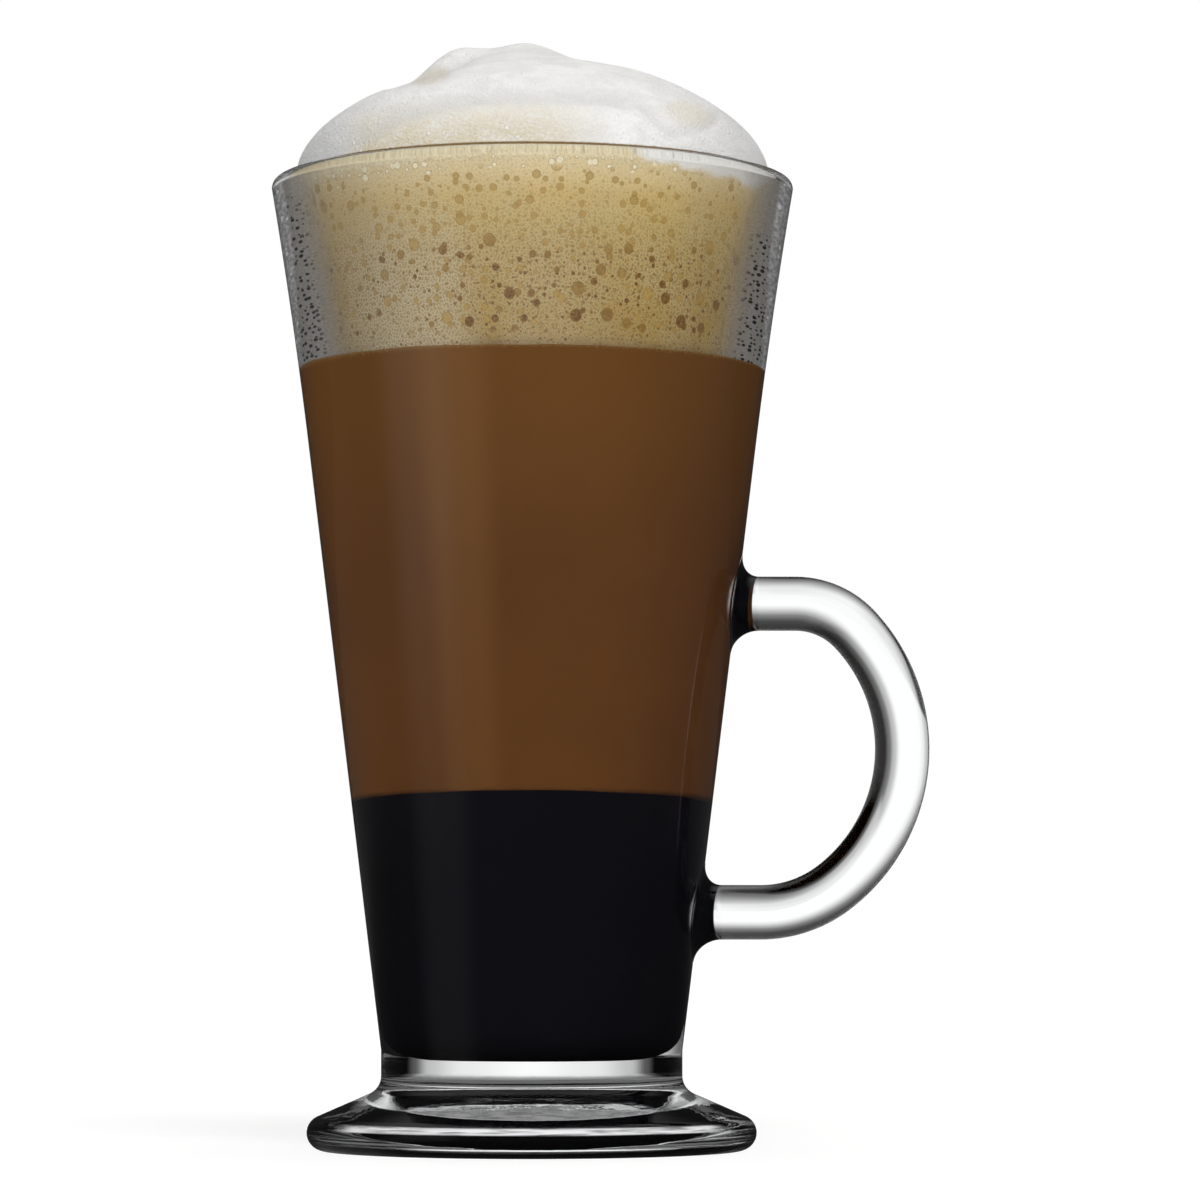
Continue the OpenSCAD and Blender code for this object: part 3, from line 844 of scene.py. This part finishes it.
# painted shade in the creases, by their depth
creaseShade = graph.signal("ShaderNodeAttribute", "Fac", {"attribute_name": "furrow"})
tone = graph.blend(creaseShade * 0.4, tone, froth["furrow"])
fine = graph.clouds(place, 3.4, 2, 0.6)
tone = graph.blend(fine.fade(0.36, 0.56, 0.11, 0.0), tone, froth["pit"])
beads = graph.cells(place, 0.42)
beadPick = graph.signal("ShaderNodeSeparateColor", 0, None, {"Color": beads.outputs["Color"]})
beadSpots = Signal(graph, beads.outputs["Distance"]).fade(0.09, 0.16, 1.0, 0.0) * beadPick.fade(0.1, 0.3)
tone = graph.blend(beadSpots * 0.7, tone, froth["bead"])
# painted shade: a dark line where the froth meets the glass's lip, golden at the front and near-black at the
# sides, in place of the lip's dark edge
paintedLipShade = (height + grain * 0.3 - 0.15).fade(150.62, 150.84, 1.0, 0.0)
lineTone = graph.blend(paintedSideShade, froth["lineGold"], froth["lineDark"])
tone = graph.blend(paintedLipShade * 0.95, tone, lineTone)
pits = graph.cells(place, 1.1)
pimples = Signal(graph, pits.outputs["Distance"]).fade(0.0, 0.3, 1.0, 0.0)
normal = graph.bump(grain * 1.6 + streaks + pimples * 0.5 + fine * 0.6 + beadSpots * 0.8, 0.7, 0.35)
graph.finish(shader(graph, tone, 0.55, normal, **{"Specular IOR Level": 0.3}))
newPiece("frothCrown", bm, [frothMaterial], "milk_froth")
print("froth made")


# floor, surround, world and lamps
studio = {
    "camera": (0.0105, -0.798, 0.03373), "pitch": 3.66, "lens": 154.9,
    "softLight": 0.5, "sideLight": 0.25, "keyLight": 1.65, "topLight": 0.6, "seenThrough": 0.012,
    "floorHalf": 5, "floorGap": 0.05, "floorTone": (0.8, 0.8, 0.8, 1), "floorFill": 0.32,
    "surroundR": 355, "surroundH": 620, "surroundLevel": 1.06}
surroundTurn = [  # brightness round the surround: 0 front, 0.25 left, 0.5 behind, 0.75 right
    (0.0, 0.8), (0.1, 0.6), (0.17, 0.5), (0.25, 0.7), (0.31, 0.25), (0.385, 0.6), (0.43, 0.9), (0.455, 1.0),
    (0.54, 1.0), (0.565, 0.5), (0.585, 0.15), (0.61, 0.008), (0.78, 0.005), (0.84, 0.05), (0.9, 0.4),
    (1.0, 0.8)]
groundTurn = [  # the same for the floor and the lowest part of the surround
    (0.0, 0.0), (0.39, 0.0), (0.405, 0.1), (0.425, 0.55), (0.46, 0.85), (0.5, 1.0), (0.54, 0.85),
    (0.575, 0.55), (0.595, 0.1), (0.61, 0.0), (1.0, 0.0)]
surroundRise = [  # brightness up the surround, as shares of its height
    (0.0, 1.0), (0.19, 1.0), (0.226, 0.84), (0.285, 0.5), (0.35, 0.22), (0.44, 0.1), (0.52, 0.05),
    (1.0, 0.02)]
mirrorTurn = [  # what the glass mirrors near the horizon, by the same turn
    (0.0, 0.05), (0.09, 0.06), (0.135, 0.18), (0.18, 0.18), (0.24, 0.04), (0.3, 0.03), (0.5, 0.02),
    (0.65, 0.02), (0.75, 0.03), (1.0, 0.05)]

bm = bmesh.new()
bmesh.ops.create_grid(bm, x_segments=8, y_segments=8, size=studio["floorHalf"])
# a hair under the foot, so that air lies between
bmesh.ops.translate(bm, verts=bm.verts[:], vec=(0, 0, -studio["floorGap"] * mm))
mesh = bpy.data.meshes.new("floor")
bm.to_mesh(mesh)
bm.free()
floor = bpy.data.objects.new("floor", mesh)
bpy.context.scene.collection.objects.link(floor)
floorMaterial, graph = newMaterial("paleFloor")
x, y, z = graph.axes()
seen, through = graph.lightPath("Is Camera Ray"), graph.lightPath("Is Transmission Ray")
mirrored = graph.lightPath("Is Glossy Ray") * (1 - through)
paper = graph.clouds(graph.place(), 0.02, 3).fade(0.2, 0.8, 0.985, 1.0)
tone = graph.blend(1.0, studio["floorTone"], graph.grey(paper), "MULTIPLY")
matt = graph.node("ShaderNodeBsdfDiffuse", None, {"Color": tone}).outputs[0]
fill = graph.emission(seen * studio["floorFill"])
lit = graph.node("ShaderNodeAddShader", None, {0: matt, 1: fill}).outputs[0]
away = ((x ** 2 + y ** 2).root()) / mm
turn = graph.azimuth(x, y)
mirrorLevel = Signal(graph, graph.ramp(turn, mirrorTurn)) * away.fade(200, 800, 0.7, 2.0)
ground = Signal(graph, graph.ramp(turn, groundTurn))
# painted shadow and light seen through the glass: the floor is painted darker near the glass, with a faint
# patchy brightness under the foot
underFoot = away.fade(19, 28, 0.16, 0.0) * graph.clouds(graph.place(), 0.25, 3).fade(0.35, 0.65, 0.3, 1.4)
throughLevel = away.fade(30, 230, 0.14, 1.0) * ground.larger(away.fade(40, 60, 1.0, 0.0)) + underFoot
glow = graph.emission(through * throughLevel + mirrored * mirrorLevel)
graph.finish(graph.mixShader(through.larger(mirrored), lit, glow))
floor.data.materials.append(floorMaterial)

bm = bmesh.new()
bmesh.ops.create_cone(
    bm, cap_ends=False, segments=128, depth=studio["surroundH"] * mm,
    radius1=studio["surroundR"] * mm, radius2=studio["surroundR"] * mm)
bmesh.ops.translate(bm, verts=bm.verts[:], vec=(0, 0, studio["surroundH"] * mm / 2))
mesh = bpy.data.meshes.new("surround")
bm.to_mesh(mesh)
bm.free()
surround = bpy.data.objects.new("surround", mesh)
bpy.context.scene.collection.objects.link(surround)
surroundMaterial, graph = newMaterial("whiteSurround")
x, y, z = graph.axes()
turn = graph.azimuth(x, y)
around = Signal(graph, graph.ramp(turn, surroundTurn))
ground = Signal(graph, graph.ramp(turn, groundTurn))
low = (z / mm).fade(20, 34, 1.0, 0.0)
around = around * (1 - low) + ground * low
up = Signal(graph, graph.ramp(z / (studio["surroundH"] * mm), surroundRise, "LINEAR"))
graph.finish(graph.emission(around * up * studio["surroundLevel"]))
surround.data.materials.append(surroundMaterial)
for kind in ("camera", "diffuse", "glossy", "shadow", "volume_scatter"):  # only glass shows it
    setattr(surround, "visible_" + kind, False)

world = bpy.data.worlds.new("studioWorld")
bpy.context.scene.world = world
world.use_nodes = True
graph = Graph(world.node_tree)
x, y, z = graph.axes("Generated")
seen, through = graph.lightPath("Is Camera Ray"), graph.lightPath("Is Transmission Ray")
mirrored = graph.lightPath("Is Glossy Ray") * (1 - through)
turn = graph.azimuth(x, y)
mirrorLevel = Signal(graph, graph.ramp(turn, mirrorTurn))
mirrorLevel = mirrorLevel + z.fade(0.5, 0.9, 0.0, 0.5)
plain = 1 - seen.larger(through).larger(mirrored)
# the soft light is dimmer from the left and right
flags = x.absolute().fade(0.5, 0.95, 1.0, studio["sideLight"])
level = seen + through * (1 - seen) * studio["seenThrough"] + mirrored * mirrorLevel
level = level + plain * flags * studio["softLight"]
graph.finish(graph.node("ShaderNodeBackground", None, {"Color": level}).outputs[0], "ShaderNodeOutputWorld")


def addSun(name, direction, strength, spread):
    data = bpy.data.lights.new(name, "SUN")
    data.energy = strength
    data.angle = math.radians(spread)
    sun = bpy.data.objects.new(name, data)
    sun.rotation_euler = Vector(direction).to_track_quat("Z", "Y").to_euler()
    for kind in ("glossy", "transmission"):
        setattr(sun, "visible_" + kind, False)
    bpy.context.scene.collection.objects.link(sun)


addSun("keyLamp", (0.12, -0.8, 0.6), studio["keyLight"], 50)
addSun("topLamp", (0.1, -0.15, 1.0), studio["topLight"], 80)

cameraData = bpy.data.cameras.new("camera")
cameraData.lens = studio["lens"]
cameraData.sensor_width = 36
cameraData.clip_start = 0.02
camera = bpy.data.objects.new("camera", cameraData)
camera.location = studio["camera"]
camera.rotation_euler = (math.radians(90 + studio["pitch"]), 0, 0)
bpy.context.scene.collection.objects.link(camera)
bpy.context.scene.camera = camera
bpy.context.scene.view_settings.view_transform = "Standard"
print("studio made")
